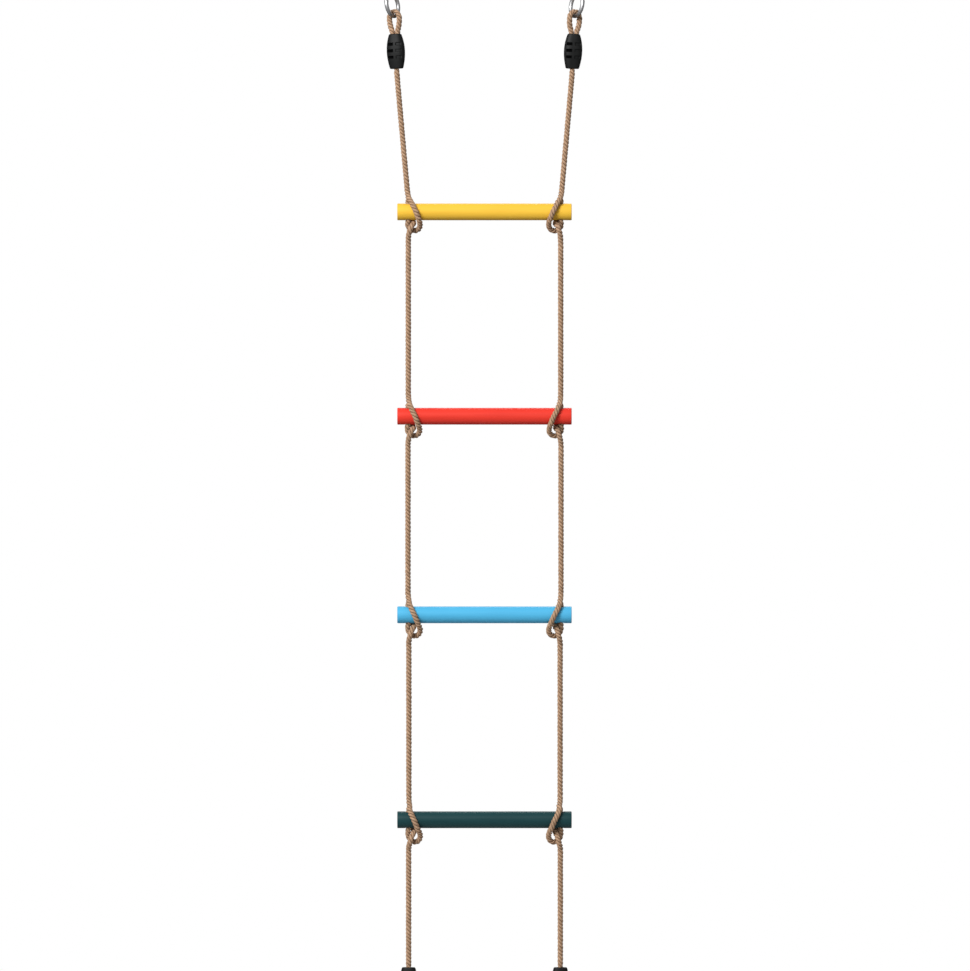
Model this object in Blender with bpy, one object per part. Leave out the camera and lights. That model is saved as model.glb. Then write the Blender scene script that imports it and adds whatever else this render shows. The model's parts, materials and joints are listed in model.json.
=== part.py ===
"""Climbing rope ladder: two ropes, four round rungs, barrel clamps, rope eyes and hanging rings.

Metres, +Z up. The ladder hangs along -Z from its two rings. Seen from the front (looking along +Y),
+X is to the right. The origin is midway between the tops of the two rings.
"""

import math

import bmesh
import bpy
from mathutils import Matrix, Vector
from mathutils.geometry import interpolate_bezier

MM = 0.001
GAP = 0.3 * MM  # kept between pieces that touch

# Rungs: they are tied by hand, so they aren't quite evenly spaced
RUNG_COUNT = 4
RUNG_LENGTH = 302 * MM
RUNG_RADIUS = 14.6 * MM
RUNG_EDGE = 1.2 * MM
RUNG_SIDES = 36
RUNG_HEIGHTS = (-381 * MM, -735 * MM, -1079 * MM, -1434 * MM)
HOLE_X = 131.7 * MM
HOLE_RADIUS = 6.4 * MM
HOLE_SIDES = 20

# Ropes
ROPE_RADIUS = 4.7 * MM
SQUEEZED = 0.88  # of the rope's radius, where a clamp grips it or it lies on the ring
BEND = ROPE_RADIUS + GAP  # from a bend's axis to the flat end of the rope above it
ROPE_STEP = 25 * MM  # between points on a straight run
KNOT_STEP = 7 * MM  # between points where the rope turns tightly
HINGE_ABOVE = 42 * MM  # from a rung's axis up to the bend above its knot
HINGE_BELOW = 62 * MM  # and down to the bend below it
SPAN_X = (131.4 * MM, 132.0 * MM, 132.5 * MM, 131.0 * MM, 131.4 * MM)  # each span, from the top

# Top hardware: the ropes splay to the rings
TOP_BEND_Z = -143.5 * MM
ROPE_LEAN = math.radians(5.08)
LEAN_FROM = 10 * MM  # above this height over the first rung its ropes already lean
CLAMP_LEAN = math.radians(2.6)
RING_LEAN = math.radians(10.0)
RING_TURN = math.radians(60.0)  # from facing the front
RING_RADIUS = 19.6 * MM  # to the middle of the wire
WIRE_RADIUS = 3.4 * MM
REST_GAP = 0.5 * MM  # between an eye and the wire that it rolls on
RING_SEGMENTS = 36
WIRE_SIDES = 10

# Barrel clamp, from its single-rope mouth to its two-rope mouth
CLAMP_LENGTH = 60.4 * MM
CLAMP_START = 10.5 * MM  # from the rope's bend to the mouth
CLAMP_END_WIDTHS = (11.4 * MM, 10.4 * MM)  # half widths and half depths
CLAMP_MID_WIDTH = 15.9 * MM
CLAMP_END_DEPTH = 7.2 * MM
CLAMP_MID_DEPTH = 9.8 * MM
CLAMP_ROUNDNESS = 2.6  # exponent of its superelliptic section
CLAMP_EDGE = 1.2 * MM
CHANNEL_DEPTH = 4.6 * MM
CHANNEL_ONE = 4.8 * MM  # half width of the channel for one rope
CHANNEL_TWO = 9.2 * MM  # and for two
CHANNEL_NARROWS = (8 * MM, 24 * MM)  # from the mouth: one rope up to the first, two from the second
POCKET_SIZE = Vector((9.6, 0, 4.6)) * MM
POCKET_COLUMNS = ((-7.4 * MM, 6.3 * MM), (7.4 * MM, 8.2 * MM))  # middle, and height of the floor
POCKET_ROWS = (19.8 * MM, 31.0 * MM, 42.4 * MM)
ANCHOR_BEND_Z = -1679 * MM

# Turn of each clamp about its own rope, as it hangs
TOP_CLAMP_TURN = {"left": math.radians(-16), "right": math.radians(4)}
BOTTOM_CLAMP_TURN = {"left": math.radians(6), "right": math.radians(-5)}

SIDES = {"left": -1, "right": 1}

# The rope round a rung, in millimetres from the middle of the hole: (towards the rungs' middle,
# towards the front, up). It comes down the rung's front, loops below the rung, climbs through the
# hole, turns over the back, and passes through its own loop on its way down.
KNOT_ROUTE = (
    (0, 0, 42),
    (0, 0, 38.5),
    (0.2, 1.0, 34),
    (0.6, 3.4, 29),
    (1.5, 7.0, 24),
    (3.0, 11.0, 19),
    (5.2, 14.7, 14),
    (7.6, 17.6, 8.5),
    (10.2, 19.4, 3.5),
    (12.4, 20.0, -1),
    (15.0, 18.8, -7.5),
    (17.6, 15.4, -14),
    (19.6, 10.0, -20),
    (20.2, 4.0, -25.5),
    (18.2, -1.0, -30.8),
    (13.6, -4.4, -34),
    (8.2, -6.4, -34),
    (3.4, -7.2, -31.4),
    (0.2, -6.4, -27.4),
    (-1.0, -4.0, -23),
    (-0.8, -1.4, -18.6),
    (-0.2, 0, -13.5),
    (0, 0, -6),
    (0, 0, 5),
    (-0.1, 0, 11.5),
    (-0.2, -0.65, 15.2),
    (-0.1, -2.5, 17.8),
    (0.2, -5.1, 19.2),
    (0.6, -8.1, 19.3),
    (1.2, -11.1, 18.0),
    (1.9, -14.6, 14.4),
    (2.8, -17.9, 9.2),
    (4.0, -19.9, 0.8),
    (5.4, -18.4, -8.0),
    (7.0, -14.0, -14.6),
    (8.4, -8.4, -18.4),
    (8.9, -2.4, -20.4),
    (7.5, 3.0, -22.8),
    (5.0, 6.4, -26.8),
    (2.9, 7.2, -32.8),
    (1.1, 5.2, -39.6),
    (0.2, 1.6, -45.8),
    (0, 0, -50.5),
    (0, 0, -57),
)
# The four pairs of knots differ a little: the loop's extra drop, and how far the strand on the
# rung's front lies towards the middle, for each rung.
LOOP_DROPS = (-2.0, -0.6, 2.2, 4.2)
FRONT_SHIFTS = (1.0, 0.0, -1.3, -2.4)
LOOP_SPAN = (16, 34, 38, 56)  # below the rung's axis: the drop grows, is whole, and fades again
FRONT_SPAN = (7, 13)  # in front of the rung's axis: the shift grows to whole

# The rope through a clamp and round its eye, in millimetres: (to one side, along the rope from the
# bend below the clamp, share of the twist from the clamp to the ring).
EYE_ROUTE = (
    (0, 5, 0),
    (0, 11, 0),
    (0, 18, 0),
    (-0.9, 24, 0),
    (-2.7, 31, 0),
    (-4.1, 39, 0),
    (-4.4, 47, 0),
    (-4.4, 58, 0),
    (-4.4, 69, 0),
    (-5.0, 75.5, 0.08),
    (-6.8, 81, 0.3),
    (-8.8, 88.5, 0.7),
    (-9.8, 95, 1),
    (-9.6, 100.4, 1),
    (-7.6, 105.6, 1),
    (-4.1, 108.8, 1),
    (0, 109.6, 1),
    (4.1, 108.8, 1),
    (7.6, 105.6, 1),
    (9.6, 100.4, 1),
    (9.8, 95, 1),
    (8.8, 88.5, 0.7),
    (6.8, 81, 0.3),
    (5.0, 75.5, 0.08),
    (4.4, 69, 0),
    (4.4, 58, 0),
    (4.4, 49, 0),
    (4.4, 40, 0),
)
EYE_TOP = 109.6 * MM
GRIPPED = (4 * MM, 75 * MM)  # along the rope, where the clamp squeezes it
PRESSED = 104 * MM  # and beyond this it lies on the ring's wire

RUNG_COLOURS = {
    "rung_1": (0.90, 0.62, 0.08, 1),
    "rung_2": (0.80, 0.05, 0.03, 1),
    "rung_3": (0.08, 0.45, 0.80, 1),
    "rung_4": (0.03, 0.09, 0.10, 1),
}


def material(name, colour, roughness, metallic=0.0):
    made = bpy.data.materials.new(name)
    made.use_nodes = True
    shader = made.node_tree.nodes["Principled BSDF"]
    shader.inputs["Base Color"].default_value = colour
    shader.inputs["Roughness"].default_value = roughness
    shader.inputs["Metallic"].default_value = metallic
    return made


def add_object(name, data, surface=None, frame=None):
    made = bpy.data.objects.new(name, data)
    bpy.context.collection.objects.link(made)
    if surface:
        data.materials.append(surface)
    if frame:
        made.matrix_world = frame
    return made


def mesh_from(name, build):
    """A mesh filled by build(bm), with its faces pointing out."""
    bm = bmesh.new()
    build(bm)
    bmesh.ops.recalc_face_normals(bm, faces=bm.faces)
    mesh = bpy.data.meshes.new(name)
    bm.to_mesh(mesh)
    bm.free()
    return mesh


def smooth_round(mesh, angle=35):
    mesh.shade_smooth()
    mesh.set_sharp_from_angle(angle=math.radians(angle))


def cut(target, cutter):
    """Cut the cutter out of the target, and keep the cutter as a hidden guide that moves with it."""
    cutter.parent = target
    cutter.hide_render = True
    cutter.display_type = "WIRE"
    boolean = target.modifiers.new("cut", "BOOLEAN")
    boolean.operation = "DIFFERENCE"
    boolean.solver = "EXACT"
    boolean.object = cutter


def frame_at(origin, right, up):
    """A placement with its local X to the right and its local Z up."""
    away = up.cross(right)
    turn = Matrix((right, away, up)).transposed().to_4x4()
    return Matrix.Translation(origin) @ turn


# Ropes


def smooth_curve(route, step):
    """Points about a step apart on a smooth curve through the route's own points."""
    places = [Vector(p) for p in route]
    tangents = []
    for i, place in enumerate(places):
        before = places[max(i - 1, 0)]
        after = places[min(i + 1, len(places) - 1)]
        tangents.append((after - before).normalized())
    fine = []
    for i in range(len(places) - 1):
        reach = (places[i + 1] - places[i]).length / 3
        handles = (places[i] + tangents[i] * reach, places[i + 1] - tangents[i + 1] * reach)
        fine += interpolate_bezier(places[i], *handles, places[i + 1], 12)[:-1]
    fine.append(places[-1])
    total = sum((b - a).length for a, b in zip(fine, fine[1:]))
    count = max(2, math.ceil(total / step))
    points = [fine[0]]
    walked = 0.0
    for a, b in zip(fine, fine[1:]):
        length = (b - a).length
        while walked + length >= total * len(points) / count and len(points) < count:
            share = (total * len(points) / count - walked) / length
            points.append(a.lerp(b, share))
        walked += length
    points.append(fine[-1])
    return points


def round_tip(points):
    """Points and radii of a half-ball end, whose centre is the first point."""
    inwards = (points[1] - points[0]).normalized()
    tip = []
    for degrees in (78, 52, 26):
        angle = math.radians(degrees)
        place = points[0] - inwards * ROPE_RADIUS * math.sin(angle)
        tip.append((place, math.cos(angle)))
    return tip


def rope(name, points, surface, rounded, radii=None):
    """A rope along the points. Its first end is a half ball if rounded, and its last end is flat."""
    radii = radii or [1.0] * len(points)
    stations = list(zip(points, radii))
    if rounded:
        stations = round_tip(points) + stations
    curve = bpy.data.curves.new(name, "CURVE")
    curve.dimensions = "3D"
    curve.bevel_depth = ROPE_RADIUS
    curve.bevel_resolution = 2
    curve.use_fill_caps = True
    spline = curve.splines.new("POLY")
    spline.points.add(len(stations) - 1)
    for point, (place, radius) in zip(spline.points, stations):
        point.co = (*place, 1)
        point.radius = radius
    spline.use_smooth = True
    origin = Vector(points[0])
    for point in spline.points:
        point.co = (*(point.co.xyz - origin), 1)
    return add_object(name, curve, surface, Matrix.Translation(origin))


def straight_rope(name, start, end, surface):
    """A rope from one bend's axis to just above the next."""
    end = end + (start - end).normalized() * BEND
    return rope(name, smooth_curve((start, end), ROPE_STEP), surface, rounded=True)


def rung_z(number):
    return RUNG_HEIGHTS[number - 1]


def grown(value, low, high):
    """0 below the low value and 1 above the high one, smooth between."""
    share = min(1.0, max(0.0, (value - low) / (high - low)))
    return share * share * (3 - 2 * share)


def knot_points(number, side):
    """The knot's centre line round one rung, from the bend above it to just above the bend below."""
    above, below = SPAN_X[number - 1], SPAN_X[number]
    route = []
    for inwards, forwards, up in KNOT_ROUTE:
        loop = grown(-up, *LOOP_SPAN[:2]) - grown(-up, *LOOP_SPAN[2:])
        up -= LOOP_DROPS[number - 1] * loop
        inwards += FRONT_SHIFTS[number - 1] * grown(forwards, *FRONT_SPAN)
        lean = math.tan(ROPE_LEAN) * max(0.0, up * MM - LEAN_FROM) if number == 1 else 0.0
        share = (up * MM + HINGE_BELOW) / (HINGE_ABOVE + HINGE_BELOW)
        x = side * (below + (above - below) * share + lean - inwards * MM)
        route.append((x, -forwards * MM, rung_z(number) + up * MM))
    return smooth_curve(route, KNOT_STEP)


def top_bend(side):
    """The axis point of the bend below a top clamp."""
    x = SPAN_X[0] + math.tan(ROPE_LEAN) * (TOP_BEND_Z - rung_z(1) - LEAN_FROM)
    return Vector((side * x, 0, TOP_BEND_Z))


def top_frame(side):
    """Placement of a top clamp and its eye: local Z runs up along the rope from its bend."""
    up = Vector((side * math.sin(CLAMP_LEAN), 0, math.cos(CLAMP_LEAN)))
    right = Vector((math.cos(CLAMP_LEAN), 0, -side * math.sin(CLAMP_LEAN)))
    return frame_at(top_bend(side), right, up)


def bottom_frame(side):
    """Placement of a bottom clamp, which is the same part upside down."""
    origin = Vector((side * SPAN_X[RUNG_COUNT], 0, ANCHOR_BEND_Z))
    return frame_at(origin, Vector((-1, 0, 0)), Vector((0, 0, -1)))


def eye_rope(name, frame, turn, twist, surface, from_bend):
    """The rope through a clamp and round its eye. It starts at the bend, or just past it."""
    route = []
    for sideways, along, share in EYE_ROUTE:
        angle = turn + (twist - turn) * share
        place = Matrix.Rotation(angle, 3, "Z") @ Vector((sideways, 0, along)) * MM
        route.append(place)
    if from_bend:
        route.insert(0, Vector((0, 0, 0)))
    local = smooth_curve(route, KNOT_STEP)
    radii = []
    for place in local:
        tight = GRIPPED[0] < place.z < GRIPPED[1] or place.z > PRESSED
        radii.append(SQUEEZED if tight else 1.0)
    points = [frame @ place for place in local]
    return rope(name, points, surface, from_bend, radii)


# Rungs


def rung(number, colour):
    name = f"rung_{number}"

    def turned(bm):
        profile = (
            (-RUNG_LENGTH / 2, RUNG_RADIUS - RUNG_EDGE),
            (-RUNG_LENGTH / 2 + RUNG_EDGE, RUNG_RADIUS),
            (RUNG_LENGTH / 2 - RUNG_EDGE, RUNG_RADIUS),
            (RUNG_LENGTH / 2, RUNG_RADIUS - RUNG_EDGE),
        )
        rings = []
        for x, radius in profile:
            ring = []
            for i in range(RUNG_SIDES):
                angle = 2 * math.pi * (i + 0.5) / RUNG_SIDES
                ring.append(bm.verts.new((x, radius * math.cos(angle), radius * math.sin(angle))))
            rings.append(ring)
        loft(bm, rings)

    mesh = mesh_from(name, turned)
    smooth_round(mesh)
    place = Matrix.Translation((0, 0, rung_z(number)))
    made = add_object(name, mesh, material(f"{name}_paint", colour, 0.4), place)
    cut(made, add_object(f"{name}_holes", mesh_from(f"{name}_holes", rung_holes)))
    return made


def rung_holes(bm):
    for side in SIDES.values():
        bmesh.ops.create_cone(
            bm,
            cap_ends=True,
            segments=HOLE_SIDES,
            radius1=HOLE_RADIUS,
            radius2=HOLE_RADIUS,
            depth=4 * RUNG_RADIUS,
            matrix=Matrix.Translation((side * HOLE_X, 0, 0)),
        )


def loft(bm, rings):
    """Faces between closed rings of points, and a flat cap on each end."""
    for lower, upper in zip(rings, rings[1:]):
        for i in range(len(lower)):
            j = (i + 1) % len(lower)
            bm.faces.new((lower[i], lower[j], upper[j], upper[i]))
    bm.faces.new(rings[0][::-1])
    bm.faces.new(rings[-1])


# Barrel clamps


def clamp_section(along):
    """Half width and half depth of the barrel, some way along it."""
    bulge = 1 - (2 * along / CLAMP_LENGTH - 1) ** 2
    first, second = CLAMP_END_WIDTHS
    end_width = first + (second - first) * along / CLAMP_LENGTH
    width = end_width + (CLAMP_MID_WIDTH - end_width) * bulge
    depth = CLAMP_END_DEPTH + (CLAMP_MID_DEPTH - CLAMP_END_DEPTH) * bulge
    end = min(along, CLAMP_LENGTH - along)
    inset = max(0.0, CLAMP_EDGE - end)
    return width - inset, depth - inset


def clamp_half_mesh(name, front):
    """One half of the barrel, split across its depth."""
    stations = [0, CLAMP_EDGE, 7 * MM, 15 * MM, 23 * MM, CLAMP_LENGTH / 2]
    stations += [CLAMP_LENGTH - station for station in reversed(stations[:-1])]
    steps = 10
    way = -1 if front else 1

    def barrel(bm):
        rings = []
        for along in stations:
            width, depth = clamp_section(along)
            ring = []
            for i in range(steps + 1):
                angle = math.pi * i / steps
                reach = abs(math.cos(angle)) ** (2 / CLAMP_ROUNDNESS)
                x = math.copysign(width * reach, math.cos(angle))
                rise = math.sin(angle) if 0 < i < steps else 0.0
                y = GAP / 2 + (depth - GAP / 2) * rise ** (2 / CLAMP_ROUNDNESS)
                ring.append(bm.verts.new((x, way * y, along)))
            rings.append(ring)
        loft(bm, rings)

    return mesh_from(name, barrel)


def clamp_cuts(front):
    """The rope channel and the moulded pockets of one half."""
    way = -1 if front else 1
    past = 1 * MM
    narrow, wide = CHANNEL_NARROWS
    outline = (
        (CHANNEL_TWO, CLAMP_LENGTH + past),
        (CHANNEL_TWO, wide),
        (CHANNEL_ONE, narrow),
        (CHANNEL_ONE, -past),
    )
    outline += tuple((-x, z) for x, z in reversed(outline))

    def solids(bm):
        floors = []
        for y in (-way * past, way * CHANNEL_DEPTH):
            floors.append([bm.verts.new((x, y, z)) for x, z in outline])
        loft(bm, floors)
        outer = CLAMP_MID_DEPTH + past
        for column, floor in POCKET_COLUMNS:
            for row in POCKET_ROWS:
                size = (POCKET_SIZE.x, outer - floor, POCKET_SIZE.z)
                middle = (column, way * (outer + floor) / 2, row)
                place = Matrix.Translation(middle) @ Matrix.Diagonal((*size, 1))
                bmesh.ops.create_cube(bm, size=1, matrix=place)

    return solids


def clamp(prefix, suffix, frame, turn, surface):
    """Both halves of one clamp, in the frame of its rope."""
    place = frame @ Matrix.Rotation(turn, 4, "Z") @ Matrix.Translation((0, 0, CLAMP_START))
    halves = []
    for half, front in (("front", True), ("rear", False)):
        name = f"{prefix}_{half}_{suffix}"
        made = add_object(name, clamp_half_mesh(name, front), surface, place)
        cut(made, add_object(f"{name}_cuts", mesh_from(f"{name}_cuts", clamp_cuts(front))))
        smooth_round(made.data)
        halves.append(made)
    return halves


# Hanging rings


def hanging_ring(suffix, side, surface):
    """A round wire ring that carries the eye below it, turned away from the front."""
    frame = top_frame(side)
    contact = EYE_TOP - ROPE_RADIUS * SQUEEZED - REST_GAP - WIRE_RADIUS
    bottom = frame @ Vector((0, 0, contact))
    up = Vector((side * math.sin(RING_LEAN), 0, math.cos(RING_LEAN)))
    across = Vector((-side * math.cos(RING_TURN), math.sin(RING_TURN), 0))
    across = (across - up * across.dot(up)).normalized()
    centre = bottom + up * RING_RADIUS

    def torus(bm):
        rings = []
        for i in range(RING_SEGMENTS):
            angle = 2 * math.pi * i / RING_SEGMENTS
            outwards = Vector((math.cos(angle), 0, math.sin(angle)))
            ring = []
            for j in range(WIRE_SIDES):
                turn = 2 * math.pi * j / WIRE_SIDES
                offset = outwards * math.cos(turn) + Vector((0, math.sin(turn), 0))
                ring.append(bm.verts.new(outwards * RING_RADIUS + offset * WIRE_RADIUS))
            rings.append(ring)
        for i, ring in enumerate(rings):
            following = rings[(i + 1) % RING_SEGMENTS]
            for j in range(WIRE_SIDES):
                k = (j + 1) % WIRE_SIDES
                bm.faces.new((ring[j], ring[k], following[k], following[j]))

    name = f"ring_{suffix}"
    mesh = mesh_from(name, torus)
    mesh.shade_smooth()
    return add_object(name, mesh, surface, frame_at(centre, across, up))


# Moving bodies


def body_on_axis(joint, z, pieces):
    """Carry a body's pieces on an empty that stands on the axis of the body's joint."""
    axis = add_object(f"{joint}_axis", None)
    axis.location = (0, 0, z)
    for piece in pieces:
        piece.parent = axis
        piece.matrix_parent_inverse = Matrix.Translation((0, 0, -z))


def eye_swing_z():
    """The height where each eye rests on its ring's wire."""
    rest = EYE_TOP - ROPE_RADIUS * SQUEEZED - REST_GAP / 2
    return (top_frame(1) @ Vector((0, 0, rest))).z


def bend_below(number):
    """Gives one rope's axis point of the bend below a rung's knot."""
    return lambda side: Vector((side * SPAN_X[number], 0, rung_z(number) - HINGE_BELOW))


def bend_above(number):
    """Gives one rope's axis point of the bend above a rung, or above the bottom clamp."""
    if number > RUNG_COUNT:
        return lambda side: bottom_frame(side).translation
    lean = math.tan(ROPE_LEAN) * (HINGE_ABOVE - LEAN_FROM) if number == 1 else 0.0
    return lambda side: Vector((side * (SPAN_X[number - 1] + lean), 0, rung_z(number) + HINGE_ABOVE))


def ropes(number, start, end, surface):
    """The left and the right rope between two bends."""
    made = []
    for suffix, side in SIDES.items():
        made.append(straight_rope(f"rope_{number}_{suffix}", start(side), end(side), surface))
    return made


def main():
    for made in list(bpy.data.objects):
        bpy.data.objects.remove(made)
    rope_surface = material("rope", (0.42, 0.28, 0.18, 1), 0.85)
    plastic = material("clamp_plastic", (0.02, 0.02, 0.022, 1), 0.5)
    steel = material("ring_steel", (0.55, 0.55, 0.55, 1), 0.3, 1.0)
    hangers = []
    anchors = []
    for suffix, side in SIDES.items():
        hanging_ring(suffix, side, steel)
        ring_twist = side * (math.pi / 2 - RING_TURN)
        turn = TOP_CLAMP_TURN[suffix]
        frame = top_frame(side)
        hangers.append(eye_rope(f"top_eye_{suffix}", frame, turn, ring_twist, rope_surface, False))
        hangers += clamp("top_clamp", suffix, frame, turn, plastic)
        turn = BOTTOM_CLAMP_TURN[suffix]
        frame = bottom_frame(side)
        anchors.append(eye_rope(f"bottom_eye_{suffix}", frame, turn, turn, rope_surface, True))
        anchors += clamp("bottom_clamp", suffix, frame, turn, plastic)
    body_on_axis("eye_swing", eye_swing_z(), hangers)
    body_on_axis("anchor_bend", bottom_frame(1).translation.z, anchors)
    body_on_axis("top_bend", TOP_BEND_Z, ropes(1, top_bend, bend_above(1), rope_surface))
    for number in range(1, RUNG_COUNT + 1):
        step = [rung(number, RUNG_COLOURS[f"rung_{number}"])]
        for suffix, side in SIDES.items():
            knot = knot_points(number, side)
            step.append(rope(f"knot_{number}_{suffix}", knot, rope_surface, rounded=True))
        body_on_axis(f"bend_above_{number}", rung_z(number) + HINGE_ABOVE, step)
        below = ropes(number + 1, bend_below(number), bend_above(number + 1), rope_surface)
        body_on_axis(f"bend_below_{number}", rung_z(number) - HINGE_BELOW, below)


main()
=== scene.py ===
"""Looks of the climbing rope ladder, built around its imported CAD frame. Metres, +Z up, front at -Y."""

import json
import math

import bmesh
import bpy
import numpy as np
from mathutils import Matrix, Vector, noise


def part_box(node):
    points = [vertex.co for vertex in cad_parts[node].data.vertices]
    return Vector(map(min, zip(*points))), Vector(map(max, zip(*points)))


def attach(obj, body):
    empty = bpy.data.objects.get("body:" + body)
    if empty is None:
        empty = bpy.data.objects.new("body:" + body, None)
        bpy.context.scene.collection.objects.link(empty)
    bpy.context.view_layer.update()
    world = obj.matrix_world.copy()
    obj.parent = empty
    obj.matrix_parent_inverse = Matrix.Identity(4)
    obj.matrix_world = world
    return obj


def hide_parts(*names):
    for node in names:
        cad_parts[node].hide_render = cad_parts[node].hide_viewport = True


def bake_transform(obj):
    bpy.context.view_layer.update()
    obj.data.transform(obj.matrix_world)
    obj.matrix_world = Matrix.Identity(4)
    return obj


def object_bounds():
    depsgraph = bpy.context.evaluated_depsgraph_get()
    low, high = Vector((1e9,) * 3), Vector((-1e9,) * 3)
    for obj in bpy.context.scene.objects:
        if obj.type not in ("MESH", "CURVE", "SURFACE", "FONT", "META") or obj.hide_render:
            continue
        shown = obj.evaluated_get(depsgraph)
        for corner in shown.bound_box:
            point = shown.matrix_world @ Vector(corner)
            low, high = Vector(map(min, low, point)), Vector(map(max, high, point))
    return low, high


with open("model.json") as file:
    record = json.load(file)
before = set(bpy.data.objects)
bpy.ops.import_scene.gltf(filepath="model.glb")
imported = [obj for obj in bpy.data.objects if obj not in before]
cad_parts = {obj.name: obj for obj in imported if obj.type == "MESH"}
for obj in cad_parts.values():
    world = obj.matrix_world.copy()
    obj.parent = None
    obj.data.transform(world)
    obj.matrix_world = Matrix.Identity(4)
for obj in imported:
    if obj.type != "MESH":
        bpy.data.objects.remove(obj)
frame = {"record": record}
cad_low, cad_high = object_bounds()

MM = 0.001
SIDES = {"left": -1, "right": 1}
RUNG_COUNT = 4
HINGES = {joint["name"]: joint["pos_m"][2] for joint in frame["record"]["behaviour"]["joints"]}


def rung_middle(number):
    low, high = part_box(f"rung_{number}")
    return (low + high) / 2


# ---------------------------------------------------------------- camera

FRAME_WIDTH = 1.682  # what the picture's width shows at the ladder
FRAME_MIDDLE_Z = -0.855
CAMERA_DISTANCE = 15.0
CAMERA_X = 0.0009


def make_camera():
    data = bpy.data.cameras.new("camera")
    data.sensor_width = 36
    data.lens = data.sensor_width * CAMERA_DISTANCE / FRAME_WIDTH
    data.clip_end = 100
    camera = bpy.data.objects.new("camera", data)
    camera.location = (CAMERA_X, -CAMERA_DISTANCE, FRAME_MIDDLE_Z)
    camera.rotation_euler = (math.pi / 2, 0, 0)
    bpy.context.scene.collection.objects.link(camera)
    bpy.context.scene.camera = camera


# ---------------------------------------------------------------- the ropes' routes

# The rope's route is the CAD's own: see the same names there.
SPAN_X = (131.4 * MM, 132.0 * MM, 132.5 * MM, 131.0 * MM, 131.4 * MM)
HINGE_ABOVE = 42 * MM
HINGE_BELOW = 62 * MM
ROPE_LEAN = math.radians(5.08)
CLAMP_LEAN = math.radians(2.6)
LEAN_FROM = 10 * MM
RING_LEAN = math.radians(10.0)
RING_TURN = math.radians(60.0)
TOP_CLAMP_TURN = {"left": math.radians(-16), "right": math.radians(4)}
BOTTOM_CLAMP_TURN = {"left": math.radians(6), "right": math.radians(-5)}

KNOT_ROUTE = (
    (0, 0, 42),
    (0, 0, 38.5),
    (0.2, 1.0, 34),
    (0.6, 3.4, 29),
    (1.5, 7.0, 24),
    (3.0, 11.0, 19),
    (5.2, 14.7, 14),
    (7.6, 17.6, 8.5),
    (10.2, 19.4, 3.5),
    (12.4, 20.0, -1),
    (15.0, 18.8, -7.5),
    (17.6, 15.4, -14),
    (19.6, 10.0, -20),
    (20.2, 4.0, -25.5),
    (18.2, -1.0, -30.8),
    (13.6, -4.4, -34),
    (8.2, -6.4, -34),
    (3.4, -7.2, -31.4),
    (0.2, -6.4, -27.4),
    (-1.0, -4.0, -23),
    (-0.8, -1.4, -18.6),
    (-0.2, 0, -13.5),
    (0, 0, -6),
    (0, 0, 5),
    (-0.1, 0, 11.5),
    (-0.2, -0.65, 15.2),
    (-0.1, -2.5, 17.8),
    (0.2, -5.1, 19.2),
    (0.6, -8.1, 19.3),
    (1.2, -11.1, 18.0),
    (1.9, -14.6, 14.4),
    (2.8, -17.9, 9.2),
    (4.0, -19.9, 0.8),
    (5.4, -18.4, -8.0),
    (7.0, -14.0, -14.6),
    (8.4, -8.4, -18.4),
    (8.9, -2.4, -20.4),
    (7.5, 3.0, -22.8),
    (5.0, 6.4, -26.8),
    (2.9, 7.2, -32.8),
    (1.1, 5.2, -39.6),
    (0.2, 1.6, -45.8),
    (0, 0, -50.5),
    (0, 0, -57),
)
# The four pairs of knots differ a little: the loop's extra drop, and how far the strand on the
# rung's front lies towards the middle, for each rung.
LOOP_DROPS = (-2.0, -0.6, 2.2, 4.2)
FRONT_SHIFTS = (1.0, 0.0, -1.3, -2.4)
LOOP_SPAN = (16, 34, 38, 56)  # below the rung's axis: the drop grows, is whole, and fades again
FRONT_SPAN = (7, 13)  # in front of the rung's axis: the shift grows to whole

EYE_ROUTE = (
    (0, 5, 0),
    (0, 11, 0),
    (0, 18, 0),
    (-0.9, 24, 0),
    (-2.7, 31, 0),
    (-4.1, 39, 0),
    (-4.4, 47, 0),
    (-4.4, 58, 0),
    (-4.4, 69, 0),
    (-5.0, 75.5, 0.08),
    (-6.8, 81, 0.3),
    (-8.8, 88.5, 0.7),
    (-9.8, 95, 1),
    (-9.6, 100.4, 1),
    (-7.6, 105.6, 1),
    (-4.1, 108.8, 1),
    (0, 109.6, 1),
    (4.1, 108.8, 1),
    (7.6, 105.6, 1),
    (9.6, 100.4, 1),
    (9.8, 95, 1),
    (8.8, 88.5, 0.7),
    (6.8, 81, 0.3),
    (5.0, 75.5, 0.08),
    (4.4, 69, 0),
    (4.4, 58, 0),
    (4.4, 49, 0),
    (4.4, 40, 0),
)
# Millimetres along a clamp, from the bend: where the grip on the rope grows, and where it fades.
GRIP_GROWS = (4, 10)
GRIP_FADES = (68, 75)
ON_WIRE = (101, 106)  # and where it comes to lie on the ring's wire

ROPE_DIAMETER = 10 * MM
SQUEEZED = 0.88
CLAMP_START = 10.5 * MM
CLAMP_LENGTH = 60.4 * MM
ROPE_STEP = 1.5 * MM
INTO_LOOP = 25 * MM  # below a rung's axis, where the rope is surely in the loop


def grown(value, low, high):
    """0 below the low value and 1 above the high one, smooth between."""
    share = np.clip((value - low) / (high - low), 0, 1)
    return share * share * (3 - 2 * share)


def frame_at(origin, right, up):
    away = up.cross(right)
    turn = Matrix((right, away, up)).transposed().to_4x4()
    return Matrix.Translation(origin) @ turn


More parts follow.
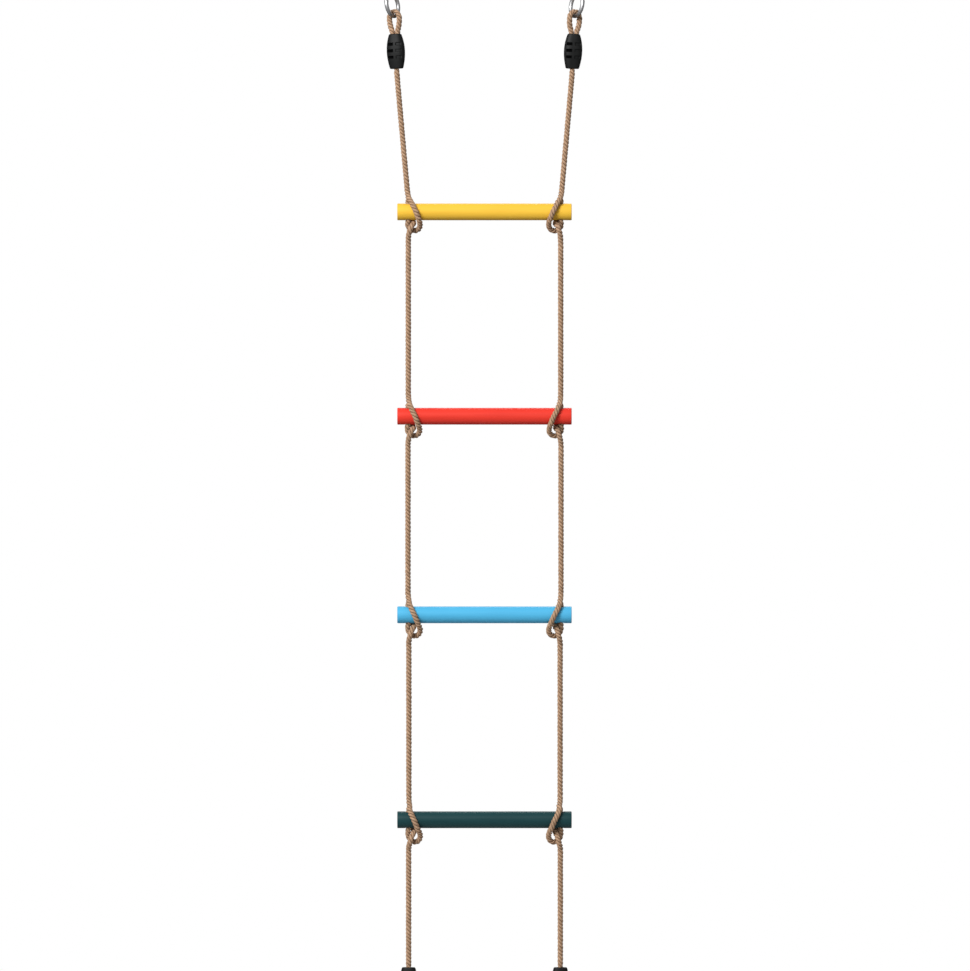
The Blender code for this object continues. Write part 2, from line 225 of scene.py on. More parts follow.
def top_frame(side):
    """Placement of a top clamp and eye: local Z runs up along the rope from its bend."""
    z = HINGES["top_bend"]
    x = SPAN_X[0] + math.tan(ROPE_LEAN) * (z - rung_middle(1).z - LEAN_FROM)
    up = Vector((side * math.sin(CLAMP_LEAN), 0, math.cos(CLAMP_LEAN)))
    right = Vector((math.cos(CLAMP_LEAN), 0, -side * math.sin(CLAMP_LEAN)))
    return frame_at(Vector((side * x, 0, z)), right, up)


def bottom_frame(side):
    origin = Vector((side * SPAN_X[RUNG_COUNT], 0, HINGES["anchor_bend"]))
    return frame_at(origin, Vector((-1, 0, 0)), Vector((0, 0, -1)))


def eye_places(place, turn, twist):
    """The route through a clamp and round its eye, from the bend to the rope's tail."""
    route = []
    for sideways, along, share in EYE_ROUTE:
        angle = turn + (twist - turn) * share
        route.append(place @ (Matrix.Rotation(angle, 3, "Z") @ Vector((sideways, 0, along)) * MM))
    return route


def knot_places(number, side):
    """The route round one rung, from the bend above it to just above the bend below."""
    middle = rung_middle(number)
    above, below = SPAN_X[number - 1], SPAN_X[number]
    route = []
    for inwards, forwards, up in KNOT_ROUTE:
        loop = grown(-up, *LOOP_SPAN[:2]) - grown(-up, *LOOP_SPAN[2:])
        up -= LOOP_DROPS[number - 1] * loop
        inwards += FRONT_SHIFTS[number - 1] * grown(forwards, *FRONT_SPAN)
        lean = math.tan(ROPE_LEAN) * max(0.0, up * MM - LEAN_FROM) if number == 1 else 0.0
        share = (up * MM + HINGE_BELOW) / (HINGE_ABOVE + HINGE_BELOW)
        x = side * (below + (above - below) * share + lean - inwards * MM)
        route.append(Vector((x, -forwards * MM, middle.z + up * MM)))
    return route


def fine_curve(places, step):
    """Evenly spaced points on a smooth curve through the places, and the length along them."""
    p = np.array(places, float)
    tangent = np.empty_like(p)
    tangent[1:-1] = p[2:] - p[:-2]
    tangent[0], tangent[-1] = p[1] - p[0], p[-1] - p[-2]
    tangent /= np.linalg.norm(tangent, axis=1)[:, None]
    reach = np.linalg.norm(np.diff(p, axis=0), axis=1)[:, None] / 3
    a, d = p[:-1], p[1:]
    b, c = a + tangent[:-1] * reach, d - tangent[1:] * reach
    pieces = []
    for share in np.linspace(0, 1, 24, endpoint=False):
        rest = 1 - share
        pieces.append(rest**3 * a + 3 * rest**2 * share * b + 3 * rest * share**2 * c + share**3 * d)
    dense = np.vstack([np.stack(pieces, axis=1).reshape(-1, 3), p[-1:]])
    along = np.concatenate([[0], np.cumsum(np.linalg.norm(np.diff(dense, axis=0), axis=1))])
    at = np.linspace(0, along[-1], math.ceil(along[-1] / step) + 1)
    return np.stack([np.interp(at, along, dense[:, k]) for k in range(3)], axis=1), at


def carried_frames(line):
    """A normal and a binormal at every point, carried along the line without twist."""
    tangent = np.gradient(line, axis=0)
    tangent /= np.linalg.norm(tangent, axis=1)[:, None]
    normal = np.empty_like(line)
    start = np.array((1.0, 0, 0)) - tangent[0] * tangent[0][0]
    normal[0] = start / np.linalg.norm(start)
    for i in range(1, len(line)):
        n = normal[i - 1] - tangent[i] * (normal[i - 1] @ tangent[i])
        normal[i] = n / np.linalg.norm(n)
    return normal, np.cross(tangent, normal)


# ---------------------------------------------------------------- the laid rope

STRANDS = 3
LAY_LENGTH = 19.8 * MM  # one full turn of a strand
VALLEY = 0.50  # of the rope's radius, between two strands
COLUMNS = 16  # across one strand
UNEVENNESS = 0.07  # of a strand's thickness
LUMP_LENGTH = 9 * MM
WANDER = 0.5  # radians by which the lay runs ahead or behind
WANDER_LENGTH = 17 * MM


def strand_profile():
    """Angle and share of the radius for each column round the rope, and which strand it is on."""
    angles, radii, owners = [], [], []
    half = math.pi / STRANDS
    for strand in range(STRANDS):
        for k in range(COLUMNS):
            swing = math.pi * (k / COLUMNS - 0.5)
            angles.append(2 * half * strand + half * math.sin(swing))
            radii.append(VALLEY + (1 - VALLEY) * math.cos(swing))
            owners.append(strand)
    return np.array(angles), np.array(radii), np.array(owners)


def uneven(seed, along, strand):
    """A small slow variation of a strand's thickness along the rope."""
    place = Vector((along / LUMP_LENGTH, strand * 7.3, seed * 3.7))
    return 1 + UNEVENNESS * noise.noise(place)


def wander(seed, along):
    """A small slow variation of the lay's turn along the rope."""
    return WANDER * noise.noise(Vector((along / WANDER_LENGTH, seed * 5.1, 0.4)))


def rope_mesh(name, line, along, normal, binormal, thickness, seed):
    """A closed tube with the lobes of the twisted strands. U is the column, V the length in metres."""
    angles, radii, owners = strand_profile()
    around = len(angles)
    turns = -2 * np.pi * along / LAY_LENGTH  # the strands run down to the right
    turns = turns + np.array([wander(seed, s) for s in along])
    a = turns[:, None] + angles[None]
    bulge = np.array([[uneven(seed, s, k) for k in range(STRANDS)] for s in along])[:, owners]
    r = ROPE_DIAMETER / 2 * radii[None] * thickness[:, None] * bulge
    points = (
        line[:, None]
        + normal[:, None] * (r * np.cos(a))[..., None]
        + binormal[:, None] * (r * np.sin(a))[..., None]
    )
    rings = len(line)
    i, j = np.meshgrid(np.arange(rings - 1), np.arange(around), indexing="ij")
    k = (j + 1) % around
    quads = np.stack([i * around + j, i * around + k, (i + 1) * around + k, (i + 1) * around + j], axis=-1)
    faces = quads.reshape(-1, 4)[:, ::-1].tolist()
    faces.append(list(range(around)))
    faces.append(list(range((rings - 1) * around, rings * around))[::-1])
    mesh = bpy.data.meshes.new(name)
    mesh.from_pydata(points.reshape(-1, 3).tolist(), [], faces)
    layer = mesh.uv_layers.new(name="lay")
    u = np.stack([j + 0.0, j + 1.0, j + 1.0, j + 0.0], axis=-1).reshape(-1, 4)[:, ::-1] / around
    v = np.stack([along[i], along[i], along[i + 1], along[i + 1]], axis=-1).reshape(-1, 4)[:, ::-1]
    uv = np.zeros((len(mesh.loops), 2))
    uv[: u.size, 0] = u.ravel()
    uv[: u.size, 1] = v.ravel()
    layer.data.foreach_set("uv", uv.ravel())
    mesh.shade_smooth()
    sharpen_caps(mesh)
    return mesh


def sharpen_caps(mesh):
    """Sharp edges round each flat end, so that two lengths meet without a visible seam."""
    bm = bmesh.new()
    bm.from_mesh(mesh)
    bm.faces.ensure_lookup_table()
    for cap in bm.faces[-2:]:
        cap.smooth = False
        for edge in cap.edges:
            edge.smooth = False
    bm.to_mesh(mesh)
    bm.free()


def new_object(name, mesh):
    made = bpy.data.objects.new(name, mesh)
    bpy.context.scene.collection.objects.link(made)
    return made


def rope_line(suffix, side):
    """One side's whole rope, from its tail in the top clamp to its tail in the bottom clamp."""
    ring_twist = side * (math.pi / 2 - RING_TURN)
    top, bottom = top_frame(side), bottom_frame(side)
    places = eye_places(top, TOP_CLAMP_TURN[suffix], ring_twist)[::-1]
    places.append(top.translation)
    for number in range(1, RUNG_COUNT + 1):
        places += knot_places(number, side)
    places.append(bottom.translation)
    turn = BOTTOM_CLAMP_TURN[suffix]
    places += eye_places(bottom, turn, turn)
    return fine_curve(places, ROPE_STEP)


def squeeze(line, side):
    """The rope's thickness along the line: the clamps grip it, and it lies flat on the ring."""
    held = np.zeros(len(line))
    for place in (top_frame(side), bottom_frame(side)):
        back = np.array(place.inverted())
        z = (line @ back[2, :3] + back[2, 3]) / MM
        in_clamp = grown(z, *GRIP_GROWS) * (1 - grown(z, *GRIP_FADES))
        has_ring = place.translation.z > line[:, 2].mean()
        on_wire = grown(z, *ON_WIRE) * has_ring
        held = np.maximum(held, np.maximum(in_clamp, on_wire))
    return 1 - (1 - SQUEEZED) * held


def split_points(line):
    """Where one side's rope is split into lengths: the middle of each span and of each hole."""
    hinges = [HINGES["top_bend"]]
    for number in range(1, RUNG_COUNT + 1):
        hinges += [HINGES[f"bend_above_{number}"], HINGES[f"bend_below_{number}"]]
    hinges.append(HINGES["anchor_bend"])
    height = line[:, 2]
    at = int(height.argmax())
    cuts = [0]
    for number in range(RUNG_COUNT + 1):
        span_middle = (hinges[2 * number] + hinges[2 * number + 1]) / 2
        at += int(np.flatnonzero(height[at:] <= span_middle)[0])
        cuts.append(at)
        if number < RUNG_COUNT:
            middle = rung_middle(number + 1).z
            at += int(np.flatnonzero(height[at:] <= middle - INTO_LOOP)[0])  # down to the loop
            at += int(np.flatnonzero(height[at:] >= middle)[0])  # and up into the hole
            cuts.append(at)
    cuts.append(len(line) - 1)
    return cuts


def rope_lengths(suffix):
    """Name, body above, body below and hinge of each of one side's ten lengths of rope."""
    found = [(f"eye_rope_{suffix}", "hangers", "top_ropes", "top_bend")]
    above = "top_ropes"
    for number in range(1, RUNG_COUNT + 1):
        below = "tail_ropes" if number == RUNG_COUNT else f"ropes_below_{number}"
        found.append((f"rope_into_{number}_{suffix}", above, f"step_{number}", f"bend_above_{number}"))
        found.append((f"rope_round_{number}_{suffix}", f"step_{number}", below, f"bend_below_{number}"))
        above = below
    found.append((f"anchor_rope_{suffix}", above, "anchors", "anchor_bend"))
    return found


def stood_for(name, suffix):
    """The CAD solids that a length of rope stands for."""
    if name.startswith("eye_rope"):
        return [f"top_eye_{suffix}", f"rope_1_{suffix}"]
    if name.startswith("anchor_rope"):
        return [f"rope_{RUNG_COUNT + 1}_{suffix}", f"bottom_eye_{suffix}"]
    number = int(name.split("_")[2])
    if "into" in name:
        return [f"rope_{number}_{suffix}", f"knot_{number}_{suffix}"]
    return [f"knot_{number}_{suffix}", f"rope_{number + 1}_{suffix}"]


def make_ropes(surface):
    for seed, (suffix, side) in enumerate(SIDES.items()):
        line, along = rope_line(suffix, side)
        normal, binormal = carried_frames(line)
        thickness = squeeze(line, side)
        cuts = split_points(line)
        lengths = rope_lengths(suffix)
        for (name, above, below, hinge), first, last in zip(lengths, cuts, cuts[1:]):
            part = slice(first, last + 1)
            mesh = rope_mesh(
                name, line[part], along[part], normal[part], binormal[part], thickness[part], seed
            )
            mesh.materials.append(surface)
            piece = new_object(name, mesh)
            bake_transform(piece)
            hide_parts(*stood_for(name, suffix))


# ---------------------------------------------------------------- materials


class Nodes:
    """Short calls for building one material's nodes."""

    def __init__(self, name):
        self.material = bpy.data.materials.new(name)
        self.material.use_nodes = True
        self.tree = self.material.node_tree
        self.shader = self.tree.nodes["Principled BSDF"]

    def node(self, kind, **settings):
        made = self.tree.nodes.new(kind)
        for key, value in settings.items():
            setattr(made, key, value)
        return made

    def link(self, source, target):
        self.tree.links.new(source, target)

    def feed(self, socket, value):
        if isinstance(value, bpy.types.NodeSocket):
            self.link(value, socket)
        else:
            socket.default_value = value

    def math(self, operation, *values):
        made = self.node("ShaderNodeMath", operation=operation)
        for socket, value in zip(made.inputs, values):
            self.feed(socket, value)
        return made.outputs[0]

    def noise(self, where, scale, detail=3.0, rough=0.5):
        made = self.node("ShaderNodeTexNoise")
        self.feed(made.inputs["Vector"], where)
        made.inputs["Scale"].default_value = scale
        made.inputs["Detail"].default_value = detail
        made.inputs["Roughness"].default_value = rough
        return made.outputs["Fac"]

    def stretched(self, where, scale):
        made = self.node("ShaderNodeMapping")
        self.link(where, made.inputs["Vector"])
        made.inputs["Scale"].default_value = scale
        return made.outputs[0]

    def span(self, value, low, high, to_low=0.0, to_high=1.0):
        made = self.node("ShaderNodeMapRange")
        self.feed(made.inputs["Value"], value)
        for key, number in (("From Min", low), ("From Max", high), ("To Min", to_low), ("To Max", to_high)):
            made.inputs[key].default_value = number
        return made.outputs["Result"]

    def mix(self, share, first, second):
        made = self.node("ShaderNodeMix", data_type="RGBA")
        self.feed(made.inputs[0], share)
        self.feed(made.inputs[6], first)
        self.feed(made.inputs[7], second)
        return made.outputs[2]

    def bump(self, height, distance, strength=1.0, onto=None):
        made = self.node("ShaderNodeBump")
        self.link(height, made.inputs["Height"])
        made.inputs["Distance"].default_value = distance
        made.inputs["Strength"].default_value = strength
        if onto:
            self.link(onto, made.inputs["Normal"])
        return made.outputs[0]

    def finish(self, colour=None, roughness=None, normal=None, **constants):
        for name, value in (("Base Color", colour), ("Roughness", roughness), ("Normal", normal)):
            if value is not None:
                self.feed(self.shader.inputs[name], value)
        for name, value in constants.items():
            self.shader.inputs[name.replace("_", " ")].default_value = value
        return self.material


YARNS = 36  # round the rope


def rope_material():
    """Tan spun yarns: they lie along the rope's own line and are shaded in the strands' valleys."""
    n = Nodes("laid_rope")
    uv = n.node("ShaderNodeUVMap", uv_map="lay").outputs[0]
    split = n.node("ShaderNodeSeparateXYZ")
    n.link(uv, split.inputs[0])
    u, v = split.outputs[0], split.outputs[1]
    strand = n.math("PINGPONG", n.math("MULTIPLY", u, STRANDS), 0.5)  # 0 in a valley, 0.5 on a crest
    around = n.math("ADD", u, n.math("MULTIPLY", v, -1 / LAY_LENGTH))
    yarn_place = n.node("ShaderNodeCombineXYZ")
    n.link(n.math("MULTIPLY", around, YARNS), yarn_place.inputs[0])
    n.link(n.math("MULTIPLY", v, 45), yarn_place.inputs[1])
    wobble = n.noise(yarn_place.outputs[0], 0.8, 1.0)
    phase = n.math("ADD", n.math("MULTIPLY", around, YARNS), n.math("MULTIPLY", wobble, 0.9))
    yarn = n.math("PINGPONG", phase, 0.5)
    fibre_place = n.node("ShaderNodeCombineXYZ")
    n.link(n.math("MULTIPLY", around, YARNS * 7), fibre_place.inputs[0])
    n.link(n.math("MULTIPLY", v, 260), fibre_place.inputs[1])
    fibre = n.noise(fibre_place.outputs[0], 1.0, 3.0, 0.6)
    tint_place = n.node("ShaderNodeCombineXYZ")
    n.link(n.math("MULTIPLY", n.math("FLOOR", phase), 3.1), tint_place.inputs[0])
    n.link(n.math("MULTIPLY", v, 30), tint_place.inputs[1])
    tint = n.noise(tint_place.outputs[0], 1.0, 2.0)
    colour = n.mix(n.span(tint, 0.3, 0.7), (0.47, 0.29, 0.175, 1), (0.62, 0.40, 0.255, 1))
    colour = n.mix(n.span(fibre, 0.45, 0.8, 0.0, 0.4), colour, (0.76, 0.55, 0.38, 1))
    blotch_place = n.node("ShaderNodeCombineXYZ")
    n.link(n.math("FLOOR", n.math("MULTIPLY", u, STRANDS)), blotch_place.inputs[0])
    n.link(n.math("MULTIPLY", v, 110), blotch_place.inputs[1])
    blotch = n.noise(blotch_place.outputs[0], 1.0, 1.0)
    colour = n.mix(n.span(blotch, 0.35, 0.65, 0.0, 0.38), colour, (0.24, 0.145, 0.085, 1))
    # painted shade in the gaps between the yarns
    colour = n.mix(n.span(yarn, 0.0, 0.18, 0.25, 0.0), colour, (0.20, 0.11, 0.06, 1))
    shade = n.span(strand, 0.02, 0.36, 0.60, 0.0)
    colour = n.mix(shade, colour, (0.085, 0.040, 0.018, 1))
    ridges = n.bump(yarn, 0.35 * MM, 0.8)
    hairs = n.bump(fibre, 0.15 * MM, 0.6, ridges)
    return n.finish(colour, 0.85, hairs, Specular_IOR_Level=0.25)


PAINTS = {
    1: ((0.94, 0.57, 0.055, 1), (0.86, 0.49, 0.045, 1)),
    2: ((0.86, 0.050, 0.030, 1), (0.74, 0.036, 0.022, 1)),
    3: ((0.088, 0.48, 0.78, 1), (0.075, 0.43, 0.72, 1)),
    4: ((0.012, 0.056, 0.062, 1), (0.008, 0.042, 0.047, 1)),
}


def paint_material(number):
    """Lacquer over turned wood: the grain shows through as faint lines along the rung."""
    light, dark = PAINTS[number]
    n = Nodes(f"lacquer_{number}")
    where = n.node("ShaderNodeTexCoord").outputs["Object"]
    grain = n.noise(n.stretched(where, (14, 260, 260)), 1.0, 4.0, 0.6)
    broad = n.noise(n.stretched(where, (9, 60, 60)), 1.0, 2.0)
    share = n.math("ADD", n.span(grain, 0.35, 0.75, 0.0, 0.45), n.span(broad, 0.35, 0.7, 0.0, 0.4))
    colour = n.mix(share, light, dark)
    peel = n.noise(where, 420, 2.0)
    rough = n.span(n.noise(where, 60, 3.0), 0.3, 0.7, 0.44, 0.54)
    lines = n.bump(grain, 0.12 * MM, 0.5)
    skin = n.bump(peel, 0.04 * MM, 0.35, lines)
    return n.finish(colour, rough, skin, Specular_IOR_Level=0.16)


def plastic_material():
    """Black moulded plastic with a fine spark-eroded skin."""
    n = Nodes("black_plastic")
    where = n.node("ShaderNodeTexCoord").outputs["Object"]
    grit = n.noise(where, 2600, 2.0, 0.6)
    patch = n.noise(where, 90, 3.0)
    colour = n.mix(n.span(patch, 0.3, 0.7), (0.005, 0.0055, 0.0055, 1), (0.009, 0.0095, 0.0095, 1))
    rough = n.span(patch, 0.3, 0.7, 0.46, 0.56)
    return n.finish(colour, rough, n.bump(grit, 0.05 * MM, 0.5), Specular_IOR_Level=0.20)


def pocket_shade_material():
    """The same plastic deep in the moulded pockets, made darker and duller than the face: painted shade."""
    n = Nodes("black_plastic_pocket_shade")
    where = n.node("ShaderNodeTexCoord").outputs["Object"]
    patch = n.noise(where, 200, 2.0)
    # painted shade: near black with almost no sheen, standing in for the pockets' shadow
    colour = n.mix(patch, (0.0008, 0.0008, 0.0009, 1), (0.0016, 0.0016, 0.0017, 1))
    return n.finish(colour, 0.9, Specular_IOR_Level=0.05)


def steel_material():
    """Zinc-plated steel wire, lightly streaked."""
    n = Nodes("zinc_steel")
    where = n.node("ShaderNodeTexCoord").outputs["Object"]
    streak = n.noise(n.stretched(where, (180, 180, 700)), 1.0, 3.0)
    patch = n.noise(where, 140, 3.0)
    colour = n.mix(n.span(patch, 0.3, 0.7), (0.56, 0.56, 0.57, 1), (0.74, 0.74, 0.75, 1))
    # painted shade: the wire turns darker grey towards the bottom of the ring
    height = n.node("ShaderNodeSeparateXYZ")
    n.link(where, height.inputs[0])
    painted_shade = n.span(height.outputs[2], -RING_RADIUS * 0.5, -RING_RADIUS * 0.95, 0.0, 0.8)
    colour = n.mix(painted_shade, colour, (0.20, 0.20, 0.20, 1))
    rough = n.span(streak, 0.3, 0.7, 0.38, 0.50)
    return n.finish(colour, rough, n.bump(streak, 0.03 * MM, 0.4), Metallic=1.0)


# ---------------------------------------------------------------- rungs

RUNG_SIDES = 96
RUNG_EDGE = 1.2 * MM
HOLE_X = 131.7 * MM
HOLE_RADIUS = 6.4 * MM
HOLE_SIDES = 40


def loft(bm, rings, closed=False):
    for lower, upper in zip(rings, rings[1:] + rings[:1] if closed else rings[1:]):
        for i in range(len(lower)):
            j = (i + 1) % len(lower)
            bm.faces.new((lower[i], lower[j], upper[j], upper[i]))
    if not closed:
        bm.faces.new(rings[0][::-1])
        bm.faces.new(rings[-1])


def mesh_from(name, build):
    bm = bmesh.new()
    build(bm)
    bmesh.ops.recalc_face_normals(bm, faces=bm.faces)
    mesh = bpy.data.meshes.new(name)
    bm.to_mesh(mesh)
    bm.free()
    return mesh


def cut_mesh(name, mesh, cutter_mesh):
    """The mesh with the cutter taken out of it."""
    body = new_object(name, mesh)
    cutter = new_object(f"{name}_cutter", cutter_mesh)
    boolean = body.modifiers.new("cut", "BOOLEAN")
    boolean.operation = "DIFFERENCE"
    boolean.solver = "EXACT"
    boolean.object = cutter
    made = bpy.data.meshes.new_from_object(body.evaluated_get(bpy.context.evaluated_depsgraph_get()))
    bpy.data.objects.remove(body)
    bpy.data.objects.remove(cutter)
    return made


def rung_profile(length, radius):
    """Stations and radii from end to end, with rounded rims."""
    rim = []
    for k in range(6):
        angle = math.pi / 2 * k / 5
        rim.append((RUNG_EDGE * (1 - math.sin(angle)), radius - RUNG_EDGE * (1 - math.cos(angle))))
    rim = rim[::-1]
    left = [(-length / 2 + x, r) for x, r in rim]
    middle = [(length * (k / 24 - 0.5), radius) for k in range(1, 24)]
    return left + middle + [(-x, r) for x, r in left[::-1]]


def make_rung(number, surface):
    low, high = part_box(f"rung_{number}")
    middle = (low + high) / 2
    length, radius = high.x - low.x, (high.z - low.z) / 2

    def turned(bm):
        rings = []
        for x, r in rung_profile(length, radius):
            swell = 1 + 0.004 * noise.noise(Vector((x * 25, number * 5.1, 0)))
            ring = []
            for i in range(RUNG_SIDES):
                angle = 2 * math.pi * i / RUNG_SIDES
                ring.append(bm.verts.new((x, r * swell * math.cos(angle), r * swell * math.sin(angle))))
            rings.append(ring)
        loft(bm, rings)

    def holes(bm):
        for side in SIDES.values():
            rings = []
            for z in (-2 * radius, 2 * radius):
                ring = []
                for i in range(HOLE_SIDES):
                    angle = 2 * math.pi * i / HOLE_SIDES
                    x = side * HOLE_X + HOLE_RADIUS * math.cos(angle)
                    ring.append(bm.verts.new((x, HOLE_RADIUS * math.sin(angle), z)))
                rings.append(ring)
            loft(bm, rings)

    name = f"painted_rung_{number}"
    mesh = cut_mesh(name, mesh_from(name, turned), mesh_from(f"{name}_holes", holes))
    mesh.name = name
    mesh.shade_smooth()
    mesh.set_sharp_from_angle(angle=math.radians(40))
    mesh.materials.clear()
    mesh.materials.append(surface)
    piece = new_object(name, mesh)
    piece.location = middle
    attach(piece, f"step_{number}")
    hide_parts(f"rung_{number}")


# ---------------------------------------------------------------- barrel clamps

CLAMP_WIDTH = (11.4 * MM, 10.4 * MM, 15.9 * MM)  # half widths at the two ends and in the middle
CLAMP_DEPTH = (7.2 * MM, 9.8 * MM)
CLAMP_ROUNDNESS = 2.6
CLAMP_EDGE = 1.6 * MM
SPLIT_GAP = 0.3 * MM
POCKET = (4.8 * MM, 2.3 * MM)  # half size
POCKET_COLUMNS = ((-7.4 * MM, 3.4 * MM), (7.4 * MM, 1.5 * MM))  # middle and depth
POCKET_ROWS = (19.8 * MM, 31.0 * MM, 42.4 * MM)
POCKET_SLOPE = 0.5 * MM  # width of a pocket's rounded rim
POCKET_FLOOR = 6.3 * MM  # no pocket goes nearer to the split than this
DARK_FROM = 1.6 * MM  # a pocket deeper than this gets the painted shade
FACE_FROM = 5 * MM  # and the barrel's outer face is further from the split than this
CHANNEL_WIDTHS = (4.8 * MM, 9.2 * MM)  # half widths, for one rope and for two
CHANNEL_FLARE = (8 * MM, 24 * MM)  # along the clamp, where the channel widens
CHANNEL_DEPTH = 4.6 * MM


def clamp_section(along):
    bulge = 1 - (2 * along / CLAMP_LENGTH - 1) ** 2
    first, second, middle = CLAMP_WIDTH
    end_width = first + (second - first) * along / CLAMP_LENGTH
    width = end_width + (middle - end_width) * bulge
    depth = CLAMP_DEPTH[0] + (CLAMP_DEPTH[1] - CLAMP_DEPTH[0]) * bulge
    end = min(along, CLAMP_LENGTH - along)
    short = max(0.0, CLAMP_EDGE - end)
    inset = CLAMP_EDGE - math.sqrt(max(0.0, CLAMP_EDGE**2 - short**2))
    return width - inset, depth - inset


def pocket_depth(x, along):
    """How deep the moulded pockets are at a place on the barrel's face."""
    deepest = 0.0
    for column, depth in POCKET_COLUMNS:
        for row in POCKET_ROWS:
            across = grown(POCKET[0] - abs(x - column), -POCKET_SLOPE / 2, POCKET_SLOPE / 2)
            up = grown(POCKET[1] - abs(along - row), -POCKET_SLOPE / 2, POCKET_SLOPE / 2)
            deepest = max(deepest, depth * across * up)
    return deepest


def clamp_half_mesh(name, front):
    way = -1 if front else 1
    steps = 90
    edge = [CLAMP_EDGE * (1 - math.cos(math.pi / 2 * k / 5)) for k in range(5)]
    even = [CLAMP_EDGE + (CLAMP_LENGTH - 2 * CLAMP_EDGE) * k / 110 for k in range(111)]
    stations = edge + even + [CLAMP_LENGTH - z for z in reversed(edge)]

    def barrel(bm):
        rings = []
        for along in stations:
            width, depth = clamp_section(along)
            ring = []
            for i in range(steps + 1):
                # the columns lie closer together at the sides
                angle = math.pi * i / steps
                reach = abs(math.cos(angle)) ** (2 / CLAMP_ROUNDNESS)
                x = math.copysign(width * reach, math.cos(angle))
                rise = math.sin(angle) if 0 < i < steps else 0.0
                y = SPLIT_GAP / 2 + (depth - SPLIT_GAP / 2) * rise ** (2 / CLAMP_ROUNDNESS)
                y = max(y - pocket_depth(x, along), min(y, POCKET_FLOOR)) if rise else y
                ring.append(bm.verts.new((x, way * y, along)))
            rings.append(ring)
        loft(bm, rings)

    past = 1 * MM
    one, two = CHANNEL_WIDTHS
    outline = [(two, CLAMP_LENGTH + past), (two, CHANNEL_FLARE[1]), (one, CHANNEL_FLARE[0]), (one, -past)]
    outline += [(-x, z) for x, z in reversed(outline)]

    def channel(bm):
        rings = []
        for y in (-way * past, way * CHANNEL_DEPTH):
            rings.append([bm.verts.new((x, y, z)) for x, z in outline])
        loft(bm, rings)

    mesh = cut_mesh(name, mesh_from(name, barrel), mesh_from(f"{name}_channel", channel))
    mesh.name = name
    mesh.shade_smooth()
    mesh.set_sharp_from_angle(angle=math.radians(50))
    return mesh


def darken_pockets(mesh):
    """Give the floors and walls of the deeper pockets the second surface, which is painted shade."""
    for face in mesh.polygons:
        x, y, along = face.center
        face.material_index = int(abs(y) > FACE_FROM and pocket_depth(x, along) > DARK_FROM)


def make_clamps(surface, pocket_shade):
    halves = {front: clamp_half_mesh(f"moulded_{front}", front == "front") for front in ("front", "rear")}
    for suffix, side in SIDES.items():
        places = {
            "top": (top_frame(side), TOP_CLAMP_TURN[suffix], "hangers"),
            "bottom": (bottom_frame(side), BOTTOM_CLAMP_TURN[suffix], "anchors"),
        }
        for end, (place, turn, body) in places.items():
            place = place @ Matrix.Rotation(turn, 4, "Z") @ Matrix.Translation((0, 0, CLAMP_START))
            for half, mesh in halves.items():
                mesh = mesh.copy()
                mesh.materials.clear()
                mesh.materials.append(surface)
                mesh.materials.append(pocket_shade)
                darken_pockets(mesh)
                piece = new_object(f"moulded_{end}_{half}_{suffix}", mesh)
                piece.matrix_world = place
                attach(piece, body)
                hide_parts(f"{end}_clamp_{half}_{suffix}")


# ---------------------------------------------------------------- hanging rings

RING_RADIUS = 19.6 * MM
WIRE_RADIUS = 3.4 * MM
WELD_AT = math.radians(160)  # round the ring from its side
WELD_LENGTH = math.radians(11)
WELD_BEAD = 0.35 * MM
RING_SIDES = 144
WIRE_SIDES = 28


def make_ring(suffix, side, surface):
    low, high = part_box(f"ring_{suffix}")
    up = Vector((side * math.sin(RING_LEAN), 0, math.cos(RING_LEAN)))
    across = Vector((-side * math.cos(RING_TURN), math.sin(RING_TURN), 0))
    across = (across - up * across.dot(up)).normalized()

    def wire(bm):
        rings = []
        for i in range(RING_SIDES):
            angle = 2 * math.pi * i / RING_SIDES
            outwards = Vector((math.cos(angle), 0, math.sin(angle)))
            near_weld = (angle - WELD_AT) / WELD_LENGTH
            bead = WELD_BEAD * math.exp(-(near_weld**2) * 3)
            ring = []
            for j in range(WIRE_SIDES):
                turn = 2 * math.pi * j / WIRE_SIDES
                lumps = bead * (1 + 0.5 * noise.noise(Vector((angle * 40, turn * 2, side))))
                offset = outwards * math.cos(turn) + Vector((0, math.sin(turn), 0))
                ring.append(bm.verts.new(outwards * RING_RADIUS + offset * (WIRE_RADIUS + lumps)))
            rings.append(ring)
        loft(bm, rings, closed=True)

    mesh = mesh_from(f"wire_ring_{suffix}", wire)
    mesh.shade_smooth()
    mesh.materials.append(surface)
    piece = new_object(f"wire_ring_{suffix}", mesh)
    piece.matrix_world = frame_at((low + high) / 2, across, up)
    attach(piece, "rings")
    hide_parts(f"ring_{suffix}")


# ---------------------------------------------------------------- light and stage

GLOW = (0.03, 0.44)  # of the backdrop's light, from the lower back to the upper front
GLOW_TOWARDS = (-0.15, -0.7, 0.7)
LIT = (0, 0, -0.9)  # where both lights point
FLOOR_RADIUS = 0.9
FLOOR_DROP = 0.45  # below the ladder's lowest point


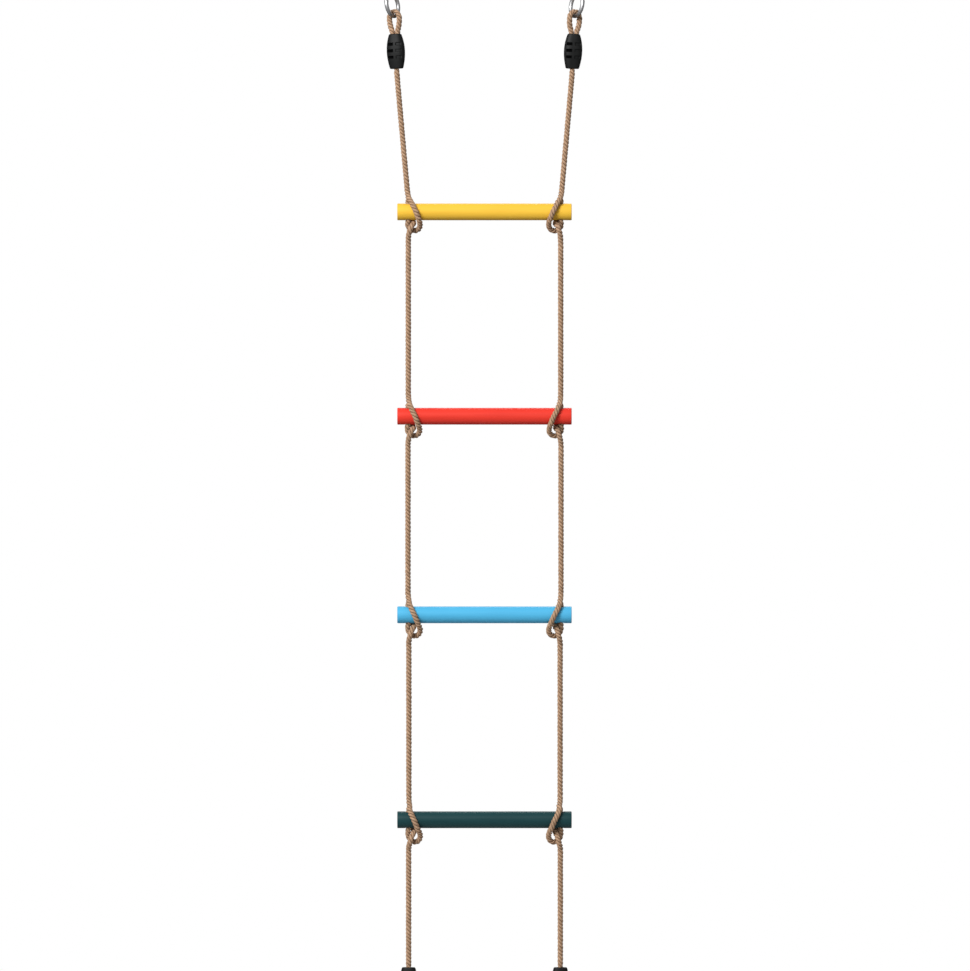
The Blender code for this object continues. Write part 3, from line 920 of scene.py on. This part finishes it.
def make_world():
    """A white backdrop; its light is soft, brightest from the upper front."""
    world = bpy.data.worlds.new("studio")
    bpy.context.scene.world = world
    world.use_nodes = True
    tree = world.node_tree
    where = tree.nodes.new("ShaderNodeTexCoord")
    towards = tree.nodes.new("ShaderNodeVectorMath")
    towards.operation = "DOT_PRODUCT"
    towards.inputs[1].default_value = GLOW_TOWARDS
    glow = tree.nodes.new("ShaderNodeMapRange")
    for key, number in (("From Min", -1), ("From Max", 1), ("To Min", GLOW[0]), ("To Max", GLOW[1])):
        glow.inputs[key].default_value = number
    seen = tree.nodes.new("ShaderNodeLightPath")
    strength = tree.nodes.new("ShaderNodeMix")
    tree.links.new(where.outputs["Generated"], towards.inputs[0])
    tree.links.new(towards.outputs["Value"], glow.inputs["Value"])
    tree.links.new(seen.outputs["Is Camera Ray"], strength.inputs[0])
    tree.links.new(glow.outputs["Result"], strength.inputs[2])
    strength.inputs[3].default_value = 1.0
    tree.links.new(strength.outputs[0], tree.nodes["Background"].inputs["Strength"])
    tree.nodes["Background"].inputs["Color"].default_value = (1, 1, 1, 1)


def area_light(name, place, target, size, power):
    data = bpy.data.lights.new(name, "AREA")
    data.shape = "RECTANGLE"
    data.size, data.size_y = size
    data.energy = power
    light = bpy.data.objects.new(name, data)
    light.location = place
    light.rotation_euler = (Vector(target) - Vector(place)).to_track_quat("-Z", "Y").to_euler()
    bpy.context.scene.collection.objects.link(light)


def make_stage():
    bpy.context.scene.view_settings.view_transform = "Standard"
    make_world()
    area_light("key", (-3.4, -5.8, 3.0), LIT, (3.1, 2.4), 590)
    area_light("rear", (1.4, 5.4, 3.6), LIT, (3.4, 2.7), 140)

    def disc(bm):
        bmesh.ops.create_circle(bm, cap_ends=True, segments=96, radius=FLOOR_RADIUS)

    floor = new_object("floor", mesh_from("floor", disc))
    floor.location = (0, 0, cad_low.z - FLOOR_DROP)
    n = Nodes("pale_floor")
    where = n.node("ShaderNodeTexCoord").outputs["Object"]
    colour = n.mix(n.noise(where, 2.0), (0.62, 0.62, 0.62, 1), (0.66, 0.66, 0.66, 1))
    floor.data.materials.append(n.finish(colour, 0.9))


def main():
    make_camera()
    make_ropes(rope_material())
    for number in range(1, RUNG_COUNT + 1):
        make_rung(number, paint_material(number))
    make_clamps(plastic_material(), pocket_shade_material())
    steel = steel_material()
    for suffix, side in SIDES.items():
        make_ring(suffix, side, steel)
    make_stage()


main()
